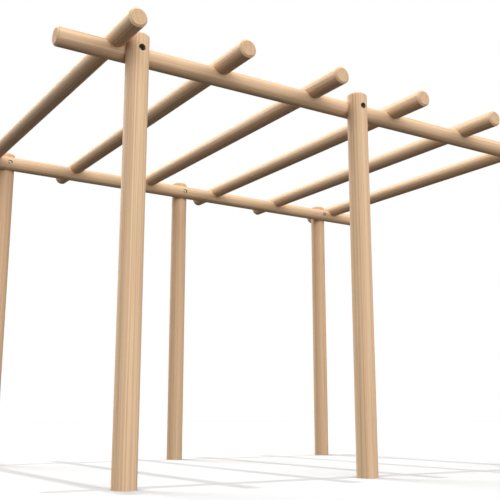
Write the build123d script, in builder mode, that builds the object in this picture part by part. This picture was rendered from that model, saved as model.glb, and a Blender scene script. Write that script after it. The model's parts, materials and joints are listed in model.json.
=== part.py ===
"""Round-timber pergola: an open frame of turned logs.

Six posts stand in two rows. Each row carries a purlin, let into the inner side of its
posts and bolted through them. Six rafters cross both purlins in saddle notches and are
screwed down from above. Lengths are in millimetres. The origin is on the ground under
the middle of the frame, X runs along the purlins, -Y is the front row and Z is up.
"""

import os
from math import radians, tan

from build123d import *

# Logs
POST_DIAMETER = 120
PURLIN_DIAMETER = 100
RAFTER_DIAMETER = 100
POST_TOP_CHAMFER = 10
PURLIN_END_CHAMFER = 10
RAFTER_END_CHAMFER = 10

# Layout of the frame
POST_SPACING = 1450
ROW_SPACING = 2290
PURLIN_AXIS_HEIGHT = 2150
POST_ABOVE_PURLIN = 35
PURLIN_OVERHANG = 415
RAFTER_OVERHANG = 252
END_RAFTER_TO_POST = 1

# Saddles: how deep each log is let into its neighbour, and the play all round
PURLIN_LET_IN = 52
RAFTER_NOTCH_DEPTH = 50
SEAT_CLEARANCE = 0.3

# Through-bolts, one at each post, with a wide washer under the head and under the nut
BOLT_DIAMETER = 10
BOLT_CLEARANCE = 0.5
BOLT_HEAD_HEIGHT = 6.4
BOLT_PAST_NUT = 5
BOLT_POINT_CHAMFER = 1.2
WASHER_DIAMETER = 30
WASHER_THICKNESS = 2.5
WASHER_BORE_CLEARANCE = 0.25
NUT_HEIGHT = 8
HEX_ACROSS_FLATS = 17
NUT_THREAD_CLEARANCE = 0.1
HEX_CORNER_ANGLE = 30

# Counterbores that sink the bolt's head and nut below the round of the log
COUNTERBORE_CLEARANCE = 2.5
POST_COUNTERBORE_DEPTH = 40
PURLIN_COUNTERBORE_DEPTH = 16

# Countersunk screws, one at each crossing of a rafter and a purlin
SCREW_DIAMETER = 8
SCREW_HEAD_DIAMETER = 15
SCREW_LENGTH = 120
SCREW_POINT_LENGTH = 9
SCREW_TIP_DIAMETER = 1.5
SCREW_SINK = 1
SCREW_CLEARANCE = 0.2
SCREW_SOCKET_ACROSS_FLATS = 5
SCREW_SOCKET_DEPTH = 2.5
COUNTERSINK_ANGLE = 90

# Radii, heights and distances from the middle of the frame that follow
POST_RADIUS = POST_DIAMETER / 2
PURLIN_RADIUS = PURLIN_DIAMETER / 2
RAFTER_RADIUS = RAFTER_DIAMETER / 2
PURLIN_TOP = PURLIN_AXIS_HEIGHT + PURLIN_RADIUS
POST_HEIGHT = PURLIN_TOP + POST_ABOVE_PURLIN
RAFTER_AXIS_HEIGHT = PURLIN_TOP - RAFTER_NOTCH_DEPTH + RAFTER_RADIUS
RAFTER_TOP = RAFTER_AXIS_HEIGHT + RAFTER_RADIUS

POST_Y = ROW_SPACING / 2
PURLIN_Y = POST_Y - POST_RADIUS - PURLIN_RADIUS + PURLIN_LET_IN
SADDLE_RADIUS = PURLIN_RADIUS + SEAT_CLEARANCE
PURLIN_HALF_LENGTH = POST_SPACING + PURLIN_OVERHANG
RAFTER_HALF_LENGTH = POST_Y + RAFTER_OVERHANG

POST_FACE_Y = POST_Y + POST_RADIUS
POST_FLOOR_Y = POST_FACE_Y - POST_COUNTERBORE_DEPTH
BOLT_SEAT_Y = POST_FLOOR_Y + WASHER_THICKNESS
PURLIN_FACE_Y = PURLIN_Y - PURLIN_RADIUS
PURLIN_FLOOR_Y = PURLIN_FACE_Y + PURLIN_COUNTERBORE_DEPTH
NUT_SEAT_Y = PURLIN_FLOOR_Y - WASHER_THICKNESS
BOLT_LENGTH = BOLT_SEAT_Y - NUT_SEAT_Y + NUT_HEIGHT + BOLT_PAST_NUT
BOLT_HOLE_RADIUS = BOLT_DIAMETER / 2 + BOLT_CLEARANCE
COUNTERBORE_RADIUS = WASHER_DIAMETER / 2 + COUNTERBORE_CLEARANCE

SCREW_HEAD_TOP = RAFTER_TOP - SCREW_SINK
SCREW_TIP_HEIGHT = SCREW_HEAD_TOP - SCREW_LENGTH
SCREW_HOLE_RADIUS = SCREW_DIAMETER / 2 + SCREW_CLEARANCE
COUNTERSINK_SLOPE = tan(radians(COUNTERSINK_ANGLE / 2))
COUNTERSINK_RADIUS = SCREW_HEAD_DIAMETER / 2 + SCREW_CLEARANCE + SCREW_SINK * COUNTERSINK_SLOPE

# Rows, and places along a row. The rafters are evenly spaced and numbered from the left.
# They are an even number, so that the middle posts stand between two of them.
ROWS = {"front": -1, "back": 1}
POST_PLACES = {"left": -POST_SPACING, "middle": 0, "right": POST_SPACING}
RAFTER_NUMBERS = range(1, 7)
END_RAFTER_X = POST_SPACING + POST_RADIUS + RAFTER_RADIUS + END_RAFTER_TO_POST
RAFTER_SPACING = 2 * END_RAFTER_X / (len(RAFTER_NUMBERS) - 1)
RAFTER_PLACES = {number: (number - 1) * RAFTER_SPACING - END_RAFTER_X for number in RAFTER_NUMBERS}


def save(piece, node):
    """Label the finished piece and write it under its node's name."""
    piece.part.label = node
    export_step(piece.part, f"parts/{node}.step")


def bolt_plane(x, y, facing):
    """A plane square to the through-bolt, looking out of the log towards +Y or -Y."""
    return Plane(origin=(x, y, PURLIN_AXIS_HEIGHT), x_dir=(1, 0, 0), z_dir=(0, facing, 0))


def saddle_profile(x, row):
    """The round of the row's purlin with play all round, drawn square to it at x."""
    with BuildSketch(Plane.YZ.offset(x)) as profile:
        with Locations((row * PURLIN_Y, PURLIN_AXIS_HEIGHT)):
            Circle(SADDLE_RADIUS)
    return profile.sketch


def make_post(x, row):
    """A post with its top edge turned off, a saddle for the purlin and a counterbored hole."""
    with BuildPart() as post:
        with BuildSketch(Plane.XY):
            with Locations((x, row * POST_Y)):
                Circle(POST_RADIUS)
        extrude(amount=POST_HEIGHT)
        chamfer(post.faces().sort_by(Axis.Z)[-1].edges(), length=POST_TOP_CHAMFER)

        saddle = saddle_profile(x - POST_DIAMETER, row)
        extrude(saddle, amount=2 * POST_DIAMETER, mode=Mode.SUBTRACT)

        with Locations(bolt_plane(x, row * POST_FACE_Y, row)):
            CounterBoreHole(BOLT_HOLE_RADIUS, COUNTERBORE_RADIUS, POST_COUNTERBORE_DEPTH)
    return post


def make_purlin(row):
    """A whole log along one row, bored for its three bolts and for a screw at each rafter."""
    with BuildPart() as purlin:
        with BuildSketch(Plane.YZ):
            with Locations((row * PURLIN_Y, PURLIN_AXIS_HEIGHT)):
                Circle(PURLIN_RADIUS)
        extrude(amount=PURLIN_HALF_LENGTH, both=True)
        ends = purlin.faces().filter_by(Axis.X)
        chamfer(ends.edges(), length=PURLIN_END_CHAMFER)

        for x in POST_PLACES.values():
            with Locations(bolt_plane(x, row * PURLIN_FACE_Y, -row)):
                CounterBoreHole(BOLT_HOLE_RADIUS, COUNTERBORE_RADIUS, PURLIN_COUNTERBORE_DEPTH)

        with Locations([(x, row * PURLIN_Y, PURLIN_TOP) for x in RAFTER_PLACES.values()]):
            Hole(SCREW_HOLE_RADIUS, depth=PURLIN_TOP - SCREW_TIP_HEIGHT + SCREW_CLEARANCE)
    return purlin


def make_rafter(x):
    """A cross log with a half-deep saddle over each purlin and a countersunk hole above it."""
    with BuildPart() as rafter:
        with BuildSketch(Plane.XZ):
            with Locations((x, RAFTER_AXIS_HEIGHT)):
                Circle(RAFTER_RADIUS)
        extrude(amount=RAFTER_HALF_LENGTH, both=True)
        ends = rafter.faces().filter_by(Axis.Y)
        chamfer(ends.edges(), length=RAFTER_END_CHAMFER)

        for row in ROWS.values():
            saddle = saddle_profile(x - RAFTER_DIAMETER, row)
            extrude(saddle, amount=2 * RAFTER_DIAMETER, mode=Mode.SUBTRACT)

        with Locations([(x, row * PURLIN_Y, RAFTER_TOP) for row in ROWS.values()]):
            CounterSinkHole(SCREW_HOLE_RADIUS, COUNTERSINK_RADIUS, counter_sink_angle=COUNTERSINK_ANGLE)
    return rafter


def cut_hex_corners(height, raised):
    """Turn the corners off the upper face of a hexagon that stands on the workplane.

    The cone meets the face on the circle that touches the flats. With raised false it
    is turned over, for the corners of the lower face.
    """
    face_radius = HEX_ACROSS_FLATS / 2
    wide_radius = face_radius + height / tan(radians(HEX_CORNER_ANGLE))
    lower, upper = (wide_radius, face_radius) if raised else (face_radius, wide_radius)
    standing = (Align.CENTER, Align.CENTER, Align.MIN)
    Cone(lower, upper, height, align=standing, mode=Mode.INTERSECT)


def make_bolt(x, row):
    """A hexagon-head bolt with its head under the post's outer face."""
    seat = bolt_plane(x, row * BOLT_SEAT_Y, row)
    with BuildPart(seat) as bolt:
        with BuildSketch(seat):
            RegularPolygon(HEX_ACROSS_FLATS / 2, 6, major_radius=False)
        extrude(amount=BOLT_HEAD_HEIGHT)
        cut_hex_corners(BOLT_HEAD_HEIGHT, raised=True)

        with BuildSketch(seat):
            Circle(BOLT_DIAMETER / 2)
        extrude(amount=-BOLT_LENGTH)
        point = bolt.faces().sort_by(Axis(seat.origin, seat.z_dir))[0]
        chamfer(point.edges(), length=BOLT_POINT_CHAMFER)
    return bolt


def make_washers(x, row):
    """Two washers: one on the floor of the post's counterbore, one on the purlin's."""
    with BuildPart() as washers:
        for floor_y, facing in ((POST_FLOOR_Y, row), (PURLIN_FLOOR_Y, -row)):
            with BuildSketch(bolt_plane(x, row * floor_y, facing)):
                Circle(WASHER_DIAMETER / 2)
                Circle(BOLT_DIAMETER / 2 + WASHER_BORE_CLEARANCE, mode=Mode.SUBTRACT)
            extrude(amount=WASHER_THICKNESS)
    return washers


def make_nut(x, row):
    """A hexagon nut on the inner washer, its corners turned off at both faces."""
    seat = bolt_plane(x, row * NUT_SEAT_Y, -row)
    with BuildPart(seat) as nut:
        with BuildSketch(seat):
            RegularPolygon(HEX_ACROSS_FLATS / 2, 6, major_radius=False)
        extrude(amount=NUT_HEIGHT)
        cut_hex_corners(NUT_HEIGHT, raised=True)
        cut_hex_corners(NUT_HEIGHT, raised=False)

        with BuildSketch(seat):
            Circle(BOLT_DIAMETER / 2 + NUT_THREAD_CLEARANCE)
        extrude(amount=NUT_HEIGHT, mode=Mode.SUBTRACT)
    return nut


def make_rafter_screws(x):
    """The two countersunk screws of one rafter, with a hexagon socket and a tapered point."""
    head_radius = SCREW_HEAD_DIAMETER / 2
    shank_radius = SCREW_DIAMETER / 2
    head_depth = (head_radius - shank_radius) / COUNTERSINK_SLOPE
    neck_height = SCREW_HEAD_TOP - head_depth
    centres = [(x, row * PURLIN_Y) for row in ROWS.values()]

    with BuildPart() as screws:
        with BuildSketch(Plane.XY.offset(SCREW_HEAD_TOP)):
            with Locations(centres):
                Circle(head_radius)
        extrude(amount=-head_depth, taper=COUNTERSINK_ANGLE / 2)

        with BuildSketch(Plane.XY.offset(neck_height)):
            with Locations(centres):
                Circle(shank_radius)
        extrude(amount=SCREW_TIP_HEIGHT - neck_height)
        for tip in screws.faces().group_by(Axis.Z)[0]:
            point_depth = shank_radius - SCREW_TIP_DIAMETER / 2
            chamfer(tip.edges(), length=point_depth, length2=SCREW_POINT_LENGTH, reference=tip)

        with BuildSketch(Plane.XY.offset(SCREW_HEAD_TOP)):
            with Locations(centres):
                RegularPolygon(SCREW_SOCKET_ACROSS_FLATS / 2, 6, major_radius=False)
        extrude(amount=-SCREW_SOCKET_DEPTH, mode=Mode.SUBTRACT)
    return screws


os.makedirs("parts", exist_ok=True)

for row_name, row in ROWS.items():
    save(make_purlin(row), f"purlin_{row_name}")
    for place_name, x in POST_PLACES.items():
        corner = f"{row_name}_{place_name}"
        save(make_post(x, row), f"post_{corner}")
        save(make_bolt(x, row), f"bolt_{corner}")
        save(make_washers(x, row), f"washers_{corner}")
        save(make_nut(x, row), f"nut_{corner}")

for number, x in RAFTER_PLACES.items():
    save(make_rafter(x), f"rafter_{number}")
    save(make_rafter_screws(x), f"rafter_screws_{number}")
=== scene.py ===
"""A round-timber pergola: the finish of its turned logs and the steel that holds them.

The posts, purlins and rafters are shown as the solids they are. Each log gets timber of its
own, cut from a solid figure of growth rings, so the side of a log and its sawn end always
agree. The bolts are made again here, with rolled threads. Lengths are in metres.
"""

import json
from math import cos, pi, radians, sin, tan

import bpy
import numpy as np
from mathutils import Euler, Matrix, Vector

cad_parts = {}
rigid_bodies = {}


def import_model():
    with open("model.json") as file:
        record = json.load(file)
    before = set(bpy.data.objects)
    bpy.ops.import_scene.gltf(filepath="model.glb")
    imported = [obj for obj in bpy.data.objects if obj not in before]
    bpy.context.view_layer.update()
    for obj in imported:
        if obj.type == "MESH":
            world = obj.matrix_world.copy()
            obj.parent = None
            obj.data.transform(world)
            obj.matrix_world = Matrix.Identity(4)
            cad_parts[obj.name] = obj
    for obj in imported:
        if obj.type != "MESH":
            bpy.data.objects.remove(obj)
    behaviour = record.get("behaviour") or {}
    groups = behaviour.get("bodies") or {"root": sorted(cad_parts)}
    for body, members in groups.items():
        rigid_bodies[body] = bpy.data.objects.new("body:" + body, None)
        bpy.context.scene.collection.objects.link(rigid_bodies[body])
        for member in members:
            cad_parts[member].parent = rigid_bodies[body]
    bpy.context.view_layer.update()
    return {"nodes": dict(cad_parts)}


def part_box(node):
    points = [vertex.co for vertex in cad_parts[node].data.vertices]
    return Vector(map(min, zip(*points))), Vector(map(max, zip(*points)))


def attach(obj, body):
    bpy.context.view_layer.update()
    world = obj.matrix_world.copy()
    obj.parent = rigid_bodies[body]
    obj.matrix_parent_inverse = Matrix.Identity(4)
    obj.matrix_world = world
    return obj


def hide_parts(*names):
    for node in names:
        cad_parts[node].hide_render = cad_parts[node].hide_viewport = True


for leftover in list(bpy.data.objects):
    bpy.data.objects.remove(leftover)

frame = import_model()

# Where the camera stood, from the outlines of the logs
CAMERA_PLACE = (-3.0435, -4.6865, 0.3298)
CAMERA_TILT_UP = 0.2069
CAMERA_TURN_RIGHT = 0.5674
CAMERA_ROLL = 0.0011
CAMERA_SHIFT = (0.0063, -0.0077)
FOCAL_LENGTH_MM = 58.42
SENSOR_WIDTH_MM = 36

# Daylight: a small sun nearly overhead, an even sky and four wide soft lamps. A strength of 1
# lights a surface that faces it just to its own colour. A lamp's azimuth is 0 in front of the
# frame and 90 to its right.
SUN_STRENGTH = 0.42
SUN_WIDTH = radians(1.5)
SUN_LEAN = (0.023, 0.011)
SKY_STRENGTH = 0.40
LAMP_WIDTH = radians(40)
LAMPS = {
    "high_front_lamp": {"azimuth": -20, "elevation": 35, "strength": 0.42},
    "low_front_lamp": {"azimuth": 20, "elevation": 8, "strength": 0.58},
    "left_lamp": {"azimuth": -90, "elevation": 15, "strength": 0.18},
    "back_lamp": {"azimuth": -160, "elevation": 35, "strength": 0.95},
}

# The floor is white to the eye and dull to the light that it sends back
FLOOR_HALF_WIDTH = 30
FLOOR_SEEN_GREY = 0.62
FLOOR_BOUNCE_GREY = 0.07

# Machine bolts, as rolled. A thread's flanks are cut flat at crest and root by as much as they
# are steeper than a plain zigzag.
BOLT_DIAMETER = 0.010
BOLT_HEAD_HEIGHT = 0.0064
HEX_ACROSS_FLATS = 0.017
HEX_CORNER_ANGLE = radians(30)
THREAD_PITCH = 0.0015
THREAD_DEPTH = 0.00092
THREAD_LENGTH = 0.026
THREAD_STEEPNESS = 1.3
BOLT_POINT_CHAMFER = 0.0012
RING_POINTS = 48
RINGS_PER_PITCH = 10
HEAD_CHAMFER_RINGS = 7
SHARP_EDGE = radians(32)

# How each kind of log is turned so that its length lies along the figure's Z
LOG_TURNS = {
    "post": (0.0, 0.0, 0.0),
    "purlin": (0.0, -pi / 2, 0.0),
    "rafter": (pi / 2, 0.0, 0.0),
}
# How far the pith line lies from the log's own axis, and how far round it may lie. Beside a
# rafter it is about level, so that the rings stand upright on the rafter's end.
PITH_DISTANCE = {"post": 0.11, "purlin": 0.10, "rafter": 0.18}
PITH_SPREAD = {"post": pi, "purlin": pi, "rafter": 0.3}
TIMBER_SEED = 7
SAMPLE_REACH = 40

# The figure's own measures. A fineness is in grains of noise a metre.
BEND_FINENESS = 3.0
BEND_DRAWN_OUT = (1.0, 1.0, 0.25)
UNEVEN_YEARS_FINENESS = 40.0
UNEVEN_YEARS = 2.5
TONE_FINENESS = 32.0
LATE_WOOD_RISE = ((0.45, 0.12), (0.82, 1.0), (0.93, 0.9))
LEAST_LATE_WOOD = 0.3
GRAIN_FINENESS = {
    "Band": (48.0, 48.0, 0.45),
    "Streak": (190.0, 190.0, 0.9),
    "Fibre": (600.0, 600.0, 7.0),
}


def display_colour(red, green, blue):
    """A colour given as 0 to 255 on a display, as the linear values that a shader takes."""
    shares = np.array((red, green, blue)) / 255
    linear = np.where(shares <= 0.04045, shares / 12.92, ((shares + 0.055) / 1.055) ** 2.4)
    return (*linear.tolist(), 1.0)


BLACK = display_colour(0, 0, 0)
WHITE = display_colour(255, 255, 255)
EARLY_WOOD = display_colour(233, 204, 168)
HONEY_WOOD = display_colour(210, 173, 128)
ROSY_WOOD = display_colour(226, 185, 153)
LATE_WOOD = display_colour(160, 118, 78)
# Painted shade for the walls of the posts' deep bores
BORE_PAINTED_SHADE = display_colour(152, 141, 122)

# What lies over the early wood, in order: the range of each mask of the figure that is spread
# over 0 to 1, the most that it covers, and its colour
TIMBER_LAYERS = {
    "Tone": {"range": (0.35, 0.65), "share": 0.60, "colour": HONEY_WOOD},
    "Band": {"range": (0.35, 0.65), "share": 0.50, "colour": ROSY_WOOD},
    "Late Wood": {"range": (0.0, 1.0), "share": 0.40, "colour": LATE_WOOD},
    "Streak": {"range": (0.48, 0.68), "share": 0.34, "colour": LATE_WOOD},
    "Fibre": {"range": (0.3, 0.7), "share": 0.10, "colour": LATE_WOOD},
}
# A sawn end faces along the log to within this range of cosines
SAWN_END_FACING = (0.8, 0.95)
SAWN_END_SHARE = 0.13
# How far the painted shade covers the walls of the deep bores
BORE_PAINTED_SHADE_SHARE = 0.95
# The posts of the back row are painted a little darker than the other logs, as painted shade from the
# roof over them
BACK_POST_PAINTED_SHADE = 0.13

# Turned sides are satin. Fibres and the sawn ends are rougher, by what is added for each.
TURNED_ROUGHNESS = 0.58
FIBRE_ROUGHNESS = 0.12
SAWN_END_ROUGHNESS = 0.3
TIMBER_SHINE = 0.3
LATE_WOOD_HEIGHT = 0.6
TIMBER_BUMP = {"Strength": 0.25, "Distance": 0.0004}

# Zinc-plated steel, with patches a little brighter and smoother than what lies between them
ZINC_COLOUR = display_colour(204, 196, 182)
ZINC_ROUGHNESS = 0.72
SCREW_COLOUR = display_colour(190, 187, 181)
SCREW_ROUGHNESS = 0.42
CLOUD_RANGE = (0.35, 0.65)
DULL_SHARE = 0.72
PATCH_SMOOTHNESS = 0.12
ZINC_BUMP = {"Strength": 0.2, "Distance": 0.0001}


def add_node(tree, kind, inputs=None, **settings):
    """One shader node with its settings, and its inputs given as values or as other sockets."""
    node = tree.nodes.new(kind)
    for name, value in settings.items():
        setattr(node, name, value)
    for socket, value in (inputs or {}).items():
        if isinstance(value, bpy.types.NodeSocket):
            tree.links.new(value, node.inputs[socket])
        else:
            node.inputs[socket].default_value = value
    return node


def math_node(tree, operation, *values):
    """The result of a Math node on one to three numbers or sockets."""
    node = add_node(tree, "ShaderNodeMath", dict(enumerate(values)), operation=operation)
    return node.outputs[0]


def vector_node(tree, operation, *values):
    """The Vector Math node for two vectors or sockets."""
    return add_node(tree, "ShaderNodeVectorMath", dict(enumerate(values)), operation=operation)


def mix_colours(tree, factor, first, second):
    """A colour between two others, by a share of the second."""
    node = add_node(tree, "ShaderNodeMix", data_type="RGBA")
    for socket, value in (("Factor", factor), ("A", first), ("B", second)):
        target = next(s for s in node.inputs if s.name == socket and s.enabled)
        if isinstance(value, bpy.types.NodeSocket):
            tree.links.new(value, target)
        else:
            target.default_value = value
    return next(s for s in node.outputs if s.enabled)


def stretch_contrast(tree, value, low, high):
    """A value from low to high, spread over 0 to 1."""
    inputs = {"Value": value, "From Min": low, "From Max": high}
    return add_node(tree, "ShaderNodeMapRange", inputs).outputs["Result"]


def new_group(name, inputs, outputs):
    """An empty shader group with its named inputs and outputs, and its two end nodes."""
    group = bpy.data.node_groups.new(name, "ShaderNodeTree")
    for socket, (kind, value) in inputs.items():
        made = group.interface.new_socket(name=socket, in_out="INPUT", socket_type=kind)
        if value is not None:
            made.default_value = value
    for socket in outputs:
        group.interface.new_socket(name=socket, in_out="OUTPUT", socket_type="NodeSocketFloat")
    return group, group.nodes.new("NodeGroupInput"), group.nodes.new("NodeGroupOutput")


def make_timber_group():
    """Growth rings round a pith line that runs beside the log, as five masks.

    The log's length is Z. A ring's place is the distance from the pith line, which wanders
    a little, divided by the width of a ring. Late wood rises slowly through each ring and
    stops short at its outer edge, and some rings have more of it than others. Tone is
    slower, over several rings. Bands, streaks and fibres are noise drawn out along the log,
    each finer than the last.
    """
    group, given, result = new_group(
        "timber_figure",
        {
            "Vector": ("NodeSocketVector", None),
            "Pith": ("NodeSocketVector", (0.0, 0.1, 0.0)),
            "Sample": ("NodeSocketVector", (0.0, 0.0, 0.0)),
            "Ring Width": ("NodeSocketFloat", 0.008),
            "Wander": ("NodeSocketFloat", 0.010),
        },
        ("Late Wood", "Tone", "Band", "Streak", "Fibre"),
    )
    place = vector_node(group, "ADD", given.outputs["Vector"], given.outputs["Sample"]).outputs[0]

    drawn_out = vector_node(group, "MULTIPLY", place, BEND_DRAWN_OUT).outputs[0]
    inputs = {"Vector": drawn_out, "Scale": BEND_FINENESS, "Detail": 1.0}
    bend = add_node(group, "ShaderNodeTexNoise", inputs)
    centred = vector_node(group, "SUBTRACT", bend.outputs["Color"], (0.5, 0.5, 0.5)).outputs[0]
    wander = vector_node(group, "SCALE", centred)
    group.links.new(given.outputs["Wander"], wander.inputs["Scale"])
    bent = vector_node(group, "ADD", given.outputs["Vector"], wander.outputs[0]).outputs[0]
    from_pith = vector_node(group, "SUBTRACT", bent, given.outputs["Pith"]).outputs[0]
    across = vector_node(group, "MULTIPLY", from_pith, (1.0, 1.0, 0.0)).outputs[0]
    radius = vector_node(group, "LENGTH", across).outputs["Value"]

    inputs = {"Vector": given.outputs["Sample"]}
    sample = add_node(group, "ShaderNodeSeparateXYZ", inputs).outputs["X"]
    years = math_node(group, "ADD", math_node(group, "MULTIPLY", radius, UNEVEN_YEARS_FINENESS), sample)
    uneven = add_node(group, "ShaderNodeTexNoise", {"W": years, "Detail": 1.0}, noise_dimensions="1D")
    ring = math_node(group, "DIVIDE", radius, given.outputs["Ring Width"])
    ring = math_node(group, "MULTIPLY_ADD", uneven.outputs[0], UNEVEN_YEARS, ring)
    late = add_node(group, "ShaderNodeValToRGB", {"Fac": math_node(group, "FRACT", ring)})
    late.color_ramp.elements[1].color = BLACK
    for position, value in LATE_WOOD_RISE:
        late.color_ramp.elements.new(position).color = (value, value, value, 1.0)
    ring_number = math_node(group, "ADD", math_node(group, "FLOOR", ring), sample)
    lot = add_node(group, "ShaderNodeTexWhiteNoise", {"W": ring_number}, noise_dimensions="1D")
    spread = 1.0 - LEAST_LATE_WOOD
    strength = math_node(group, "MULTIPLY_ADD", lot.outputs["Value"], spread, LEAST_LATE_WOOD)

    slow = math_node(group, "ADD", math_node(group, "MULTIPLY", radius, TONE_FINENESS), sample)
    tone = add_node(group, "ShaderNodeTexNoise", {"W": slow, "Detail": 2.0}, noise_dimensions="1D")

    group.links.new(math_node(group, "MULTIPLY", late.outputs[0], strength), result.inputs["Late Wood"])
    group.links.new(tone.outputs[0], result.inputs["Tone"])
    for name, fineness in GRAIN_FINENESS.items():
        drawn = vector_node(group, "MULTIPLY", place, fineness).outputs[0]
        noise = add_node(group, "ShaderNodeTexNoise", {"Vector": drawn, "Scale": 1.0, "Detail": 2.0})
        group.links.new(noise.outputs[0], result.inputs[name])
    return group


def make_bore_shade_group():
    """Where a point of a log lies on the wall of a drilled bore, as one mask for painted shade.

    The bore's axis runs along Y through a centre. The mask is 1 up to the bore's radius and falls to 0
    across a narrow rim. It carries painted shade, darkening the wall as if shaded inside the bore.
    """
    group, given, result = new_group(
        "painted_bore_shade",
        {
            "Vector": ("NodeSocketVector", None),
            "Centre": ("NodeSocketVector", (0.0, 0.0, 0.0)),
            "Radius": ("NodeSocketFloat", 0.018),
            "Rim": ("NodeSocketFloat", 0.002),
        },
        ("Wall",),
    )
    from_centre = vector_node(group, "SUBTRACT", given.outputs["Vector"], given.outputs["Centre"])
    from_axis = vector_node(group, "MULTIPLY", from_centre.outputs[0], (1.0, 0.0, 1.0)).outputs[0]
    distance = vector_node(group, "LENGTH", from_axis).outputs["Value"]
    outside = math_node(group, "SUBTRACT", distance, given.outputs["Radius"])
    across_rim = math_node(group, "DIVIDE", outside, given.outputs["Rim"])
    wall = add_node(group, "ShaderNodeMapRange", {"Value": across_rim, "To Min": 1.0, "To Max": 0.0})
    group.links.new(wall.outputs["Result"], result.inputs["Wall"])
    return group


def make_timber(name, groups, centre, turn, pith, sample, back_row_shade, bores):
    """Smooth turned softwood for one log: a Mapping node lays the log's axis along Z.

    The sawn ends, which face along the axis, are a little darker and rougher. The whole log may be
    darkened by a share from 0 to 1, as painted shade for a post under the roof. The walls of its bores,
    each given by a point on the bore's axis, are the darkest, as painted shade.
    """
    material = bpy.data.materials.new(name)
    material.use_nodes = True
    tree = material.node_tree
    shader = tree.nodes["Principled BSDF"]

    texture_place = add_node(tree, "ShaderNodeTexCoord")
    coordinates = texture_place.outputs["Object"]
    axis = Euler(turn).to_matrix().inverted() @ Vector((0, 0, 1))
    facing = vector_node(tree, "DOT_PRODUCT", texture_place.outputs["Normal"], axis).outputs["Value"]
    sawn_end = stretch_contrast(tree, math_node(tree, "ABSOLUTE", facing), *SAWN_END_FACING)
    moved = -(Euler(turn).to_matrix() @ Vector(centre))
    inputs = {"Vector": coordinates, "Location": moved, "Rotation": turn}
    mapping = add_node(tree, "ShaderNodeMapping", inputs)
    figure = add_node(tree, "ShaderNodeGroup", node_tree=groups["figure"])
    tree.links.new(mapping.outputs["Vector"], figure.inputs["Vector"])
    figure.inputs["Pith"].default_value = pith
    figure.inputs["Sample"].default_value = sample

    colour = EARLY_WOOD
    masks = {}
    for mask, layer in TIMBER_LAYERS.items():
        masks[mask] = stretch_contrast(tree, figure.outputs[mask], *layer["range"])
        cover = math_node(tree, "MULTIPLY", masks[mask], layer["share"])
        colour = mix_colours(tree, cover, colour, layer["colour"])
    cover = math_node(tree, "MULTIPLY", sawn_end, SAWN_END_SHARE)
    colour = mix_colours(tree, cover, colour, LATE_WOOD)
    # Painted shade: the whole log darkened by a share, for a post under the roof
    colour = mix_colours(tree, back_row_shade, colour, LATE_WOOD)
    # Painted shade on the walls of the deep bores
    for bore in bores:
        drilled = add_node(tree, "ShaderNodeGroup", node_tree=groups["bore"])
        tree.links.new(coordinates, drilled.inputs["Vector"])
        drilled.inputs["Centre"].default_value = bore
        wall = math_node(tree, "MULTIPLY", drilled.outputs["Wall"], BORE_PAINTED_SHADE_SHARE)
        colour = mix_colours(tree, wall, colour, BORE_PAINTED_SHADE)
    tree.links.new(colour, shader.inputs["Base Color"])

    turned = math_node(tree, "MULTIPLY_ADD", masks["Fibre"], FIBRE_ROUGHNESS, TURNED_ROUGHNESS)
    roughness = math_node(tree, "MULTIPLY_ADD", sawn_end, SAWN_END_ROUGHNESS, turned)
    tree.links.new(roughness, shader.inputs["Roughness"])
    shader.inputs["Specular IOR Level"].default_value = TIMBER_SHINE

    height = math_node(tree, "MULTIPLY_ADD", masks["Late Wood"], LATE_WOOD_HEIGHT, masks["Fibre"])
    bump = add_node(tree, "ShaderNodeBump", {"Height": height, **TIMBER_BUMP})
    tree.links.new(bump.outputs["Normal"], shader.inputs["Normal"])
    return material


def make_zinc_group():
    """Cloudy zinc, as two masks: soft noise in all directions, and its patches made clearer."""
    group, given, result = new_group(
        "zinc_cloud",
        {
            "Vector": ("NodeSocketVector", None),
            "Fineness": ("NodeSocketFloat", 260.0),
        },
        ("Cloud", "Patches"),
    )
    inputs = {"Vector": given.outputs["Vector"], "Scale": given.outputs["Fineness"], "Detail": 3.0}
    cloud = add_node(group, "ShaderNodeTexNoise", inputs).outputs[0]
    group.links.new(cloud, result.inputs["Cloud"])
    group.links.new(stretch_contrast(group, cloud, *CLOUD_RANGE), result.inputs["Patches"])
    return group


def make_zinc_steel(name, group, colour, roughness):
    """Dull zinc on steel: small cloudy patches that are a little brighter and smoother."""
    material = bpy.data.materials.new(name)
    material.use_nodes = True
    tree = material.node_tree
    shader = tree.nodes["Principled BSDF"]
    coordinates = add_node(tree, "ShaderNodeTexCoord").outputs["Object"]
    zinc = add_node(tree, "ShaderNodeGroup", node_tree=group)
    tree.links.new(coordinates, zinc.inputs["Vector"])
    patches = zinc.outputs["Patches"]
    duller = tuple(DULL_SHARE * value for value in colour[:3]) + (1.0,)
    tree.links.new(mix_colours(tree, patches, duller, colour), shader.inputs["Base Color"])
    smoother = math_node(tree, "MULTIPLY_ADD", patches, -PATCH_SMOOTHNESS, roughness)
    tree.links.new(smoother, shader.inputs["Roughness"])
    shader.inputs["Metallic"].default_value = 1.0
    bump = add_node(tree, "ShaderNodeBump", {"Height": zinc.outputs["Cloud"], **ZINC_BUMP})
    tree.links.new(bump.outputs["Normal"], shader.inputs["Normal"])
    return material


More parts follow.
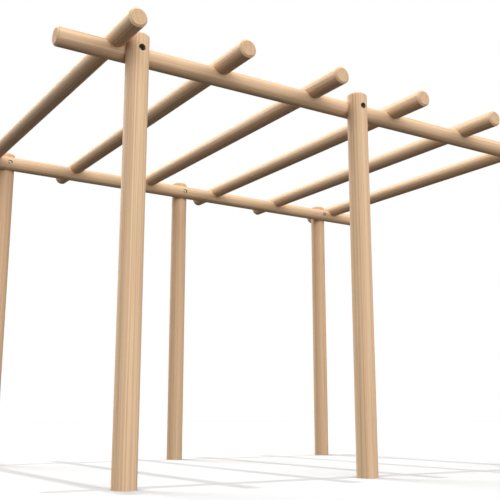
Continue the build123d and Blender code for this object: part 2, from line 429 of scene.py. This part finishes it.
def closed_surface(name, rings, first_pole, last_pole):
    """A mesh from a grid of rings, closed by a pole at each end.

    Point (i, j) of the grid is rings[i, j]. The rings turn right-handed about the way from
    the first pole to the last, so every face points outwards.
    """
    count, around = rings.shape[:2]
    grid = np.arange(count * around).reshape(count, around)
    beside = np.roll(grid, -1, axis=1)
    sides = np.stack((grid[:-1], beside[:-1], beside[1:], grid[1:]), axis=-1).reshape(-1, 4)
    first, last = count * around, count * around + 1
    near = np.stack((np.full(around, first), beside[0], grid[0]), axis=-1)
    far = np.stack((np.full(around, last), grid[-1], beside[-1]), axis=-1)
    points = np.vstack((rings.reshape(-1, 3), first_pole, last_pole))
    mesh = bpy.data.meshes.new(name)
    mesh.from_pydata(points.tolist(), [], sides.tolist() + near.tolist() + far.tolist())
    mesh.shade_smooth()
    mesh.set_sharp_from_angle(angle=SHARP_EDGE)
    piece = bpy.data.objects.new(name, mesh)
    bpy.context.scene.collection.objects.link(piece)
    return piece


def hexagon_radius(angles):
    """From a hexagon's centre to its side: half the width over flats, divided by the cosine of
    the angle to the nearest flat. A corner lies at angle 0."""
    from_flat = angles % (pi / 3) - pi / 6
    return HEX_ACROSS_FLATS / 2 / np.cos(from_flat)


def threaded_radius(along, angles, length):
    """A rolled thread's radius at a distance along the bolt and an angle round it.

    The crest climbs one pitch a turn. Across a pitch the depth is a zigzag, made steeper about
    its middle and cut flat at crest and root. It fades in over the first pitch, and the bolt's
    end is a cone.
    """
    turns = (along / THREAD_PITCH - angles / (2 * pi)) % 1
    zigzag = np.abs(2 * turns - 1)
    flank = np.clip((zigzag - 0.5) * THREAD_STEEPNESS + 0.5, 0, 1)
    run_in = np.clip((along - (length - THREAD_LENGTH)) / THREAD_PITCH, 0, 1)
    threaded = BOLT_DIAMETER / 2 - THREAD_DEPTH * flank * run_in
    cone = BOLT_DIAMETER / 2 - BOLT_POINT_CHAMFER + (length - along)
    return np.minimum(threaded, cone)


def make_bolt(name, node):
    """A hexagon bolt, head outwards, as one surface of rings from the head to the point.

    A ring's radius is the hexagon's or the cone that turns its corners off, whichever is
    less, then the plain shank's, then the thread's.
    """
    low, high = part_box(node)
    outward = 1 if low.y > 0 else -1
    head_top = high.y if outward > 0 else low.y
    length = high.y - low.y
    centre_x = (low.x + high.x) / 2
    centre_z = (low.z + high.z) / 2

    angles = np.linspace(0, 2 * pi, RING_POINTS, endpoint=False)
    corner_depth = (1 / np.cos(pi / 6) - 1) * HEX_ACROSS_FLATS / 2 * tan(HEX_CORNER_ANGLE)
    chamfered = np.linspace(0, corner_depth, HEAD_CHAMFER_RINGS)
    cone = HEX_ACROSS_FLATS / 2 + chamfered / tan(HEX_CORNER_ANGLE)
    head_rings = np.minimum(hexagon_radius(angles)[None, :], cone[:, None])
    seat_ring = hexagon_radius(angles)[None, :]
    shank_ring = np.full((1, RING_POINTS), BOLT_DIAMETER / 2)

    ring_count = int(THREAD_LENGTH / THREAD_PITCH * RINGS_PER_PITCH)
    thread = np.linspace(length - THREAD_LENGTH, length, ring_count)
    thread_rings = threaded_radius(thread[:, None], angles[None, :], length)

    along = np.concatenate((chamfered, [BOLT_HEAD_HEIGHT, BOLT_HEAD_HEIGHT], thread))
    radius = np.vstack((head_rings, seat_ring, shank_ring, thread_rings))
    rings = np.stack(
        (
            centre_x + radius * np.cos(angles),
            np.broadcast_to((head_top - outward * along)[:, None], radius.shape),
            centre_z + outward * radius * np.sin(angles),
        ),
        axis=-1,
    )
    first_pole = (centre_x, head_top, centre_z)
    last_pole = (centre_x, head_top - outward * length, centre_z)
    piece = closed_surface(name, rings, first_pole, last_pole)
    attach(piece, "root")
    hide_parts(node)
    return piece


def set_material(piece, material):
    """The piece's one finish."""
    piece.data.materials.clear()
    piece.data.materials.append(material)


def make_floor():
    """A level square under the feet, white to the camera and keeping the shadow."""
    edge = np.linspace(-FLOOR_HALF_WIDTH, FLOOR_HALF_WIDTH, 2)
    x, y = np.meshgrid(edge, edge, indexing="ij")
    points = np.stack((x, y, np.zeros_like(x)), axis=-1).reshape(-1, 3)
    mesh = bpy.data.meshes.new("floor")
    mesh.from_pydata(points.tolist(), [], [(0, 2, 3, 1)])
    floor = bpy.data.objects.new("floor", mesh)
    bpy.context.scene.collection.objects.link(floor)

    material = bpy.data.materials.new("floor_white")
    material.use_nodes = True
    tree = material.node_tree
    tree.nodes.remove(tree.nodes["Principled BSDF"])
    seen = add_node(tree, "ShaderNodeLightPath").outputs["Is Camera Ray"]
    bounced = (FLOOR_BOUNCE_GREY, FLOOR_BOUNCE_GREY, FLOOR_BOUNCE_GREY, 1.0)
    shown = (FLOOR_SEEN_GREY, FLOOR_SEEN_GREY, FLOOR_SEEN_GREY, 1.0)
    matt = add_node(tree, "ShaderNodeBsdfDiffuse", {"Color": mix_colours(tree, seen, bounced, shown)})
    tree.links.new(matt.outputs[0], tree.nodes["Material Output"].inputs["Surface"])
    set_material(floor, material)


def make_sky():
    """An even sky for the light, and plain white to the eye and in reflections."""
    world = bpy.data.worlds.new("sky")
    world.use_nodes = True
    tree = world.node_tree
    path = add_node(tree, "ShaderNodeLightPath")
    seen = math_node(tree, "MAXIMUM", path.outputs["Is Camera Ray"], path.outputs["Is Glossy Ray"])
    seen = math_node(tree, "MAXIMUM", seen, path.outputs["Is Transmission Ray"])
    strength = math_node(tree, "MULTIPLY_ADD", seen, 1.0 - SKY_STRENGTH, SKY_STRENGTH)
    background = tree.nodes["Background"]
    background.inputs["Color"].default_value = WHITE
    tree.links.new(strength, background.inputs["Strength"])
    bpy.context.scene.world = world


def make_lamp(name, strength, width, shining):
    """A distant lamp of a given width in the sky, shining along a direction."""
    lamp = bpy.data.lights.new(name, "SUN")
    lamp.energy = pi * strength
    lamp.angle = width
    holder = bpy.data.objects.new(name, lamp)
    holder.rotation_euler = shining.to_track_quat("-Z", "Y").to_euler()
    bpy.context.scene.collection.objects.link(holder)


def make_lights():
    """The sun, and the soft lamps from their azimuths and elevations."""
    make_lamp("sun", SUN_STRENGTH, SUN_WIDTH, Vector((*SUN_LEAN, -1)))
    for name, lamp in LAMPS.items():
        azimuth, elevation = radians(lamp["azimuth"]), radians(lamp["elevation"])
        level = cos(elevation)
        shining = Vector((-sin(azimuth) * level, cos(azimuth) * level, -sin(elevation)))
        make_lamp(name, lamp["strength"], LAMP_WIDTH, shining)


def make_camera():
    """The photograph's viewpoint, low and looking a little up."""
    camera = bpy.data.cameras.new("camera")
    camera.lens = FOCAL_LENGTH_MM
    camera.sensor_width = SENSOR_WIDTH_MM
    camera.shift_x, camera.shift_y = CAMERA_SHIFT
    holder = bpy.data.objects.new("camera", camera)
    holder.location = CAMERA_PLACE
    holder.rotation_euler = (pi / 2 + CAMERA_TILT_UP, -CAMERA_ROLL, -CAMERA_TURN_RIGHT)
    bpy.context.scene.collection.objects.link(holder)
    bpy.context.scene.camera = holder


def deep_bores(node):
    """A point on the axis of each deep bore in a log: a post has one, round its bolt."""
    if not node.startswith("post_"):
        return []
    low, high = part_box(node.replace("post_", "bolt_"))
    return [(low + high) / 2]


def finish_logs():
    """Each log's own timber, with its pith to another side and another sample of the figure."""
    groups = {"figure": make_timber_group(), "bore": make_bore_shade_group()}
    random = np.random.default_rng(TIMBER_SEED)
    for node, piece in frame["nodes"].items():
        kind = node.split("_")[0]
        if kind not in LOG_TURNS or "screws" in node:
            continue
        low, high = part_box(node)
        centre = (low + high) / 2
        side = random.uniform(-PITH_SPREAD[kind], PITH_SPREAD[kind])
        pith = (PITH_DISTANCE[kind] * np.cos(side), PITH_DISTANCE[kind] * np.sin(side), 0.0)
        sample = random.uniform(0, SAMPLE_REACH, 3)
        # Painted shade for the back-row posts, darker timber for the shade under the roof
        back_row_shade = BACK_POST_PAINTED_SHADE if node.startswith("post_back_") else 0.0
        name = f"timber_{node}"
        # Painted shade goes on the walls of each post's deep bore
        bores = deep_bores(node)
        timber = make_timber(name, groups, centre, LOG_TURNS[kind], pith, sample, back_row_shade, bores)
        set_material(piece, timber)


def finish_steel():
    """Bolts with threads in place of the plain ones, and the finish of all the steel."""
    group = make_zinc_group()
    zinc = make_zinc_steel("zinc_steel", group, ZINC_COLOUR, ZINC_ROUGHNESS)
    screw = make_zinc_steel("screw_steel", group, SCREW_COLOUR, SCREW_ROUGHNESS)
    for node, piece in frame["nodes"].items():
        if node.startswith("bolt_"):
            set_material(make_bolt(f"threaded_{node}", node), zinc)
        elif node.startswith(("washers_", "nut_")):
            set_material(piece, zinc)
        elif node.startswith("rafter_screws_"):
            set_material(piece, screw)


bpy.context.scene.view_settings.view_transform = "Standard"
finish_logs()
finish_steel()
make_floor()
make_sky()
make_lights()
make_camera()
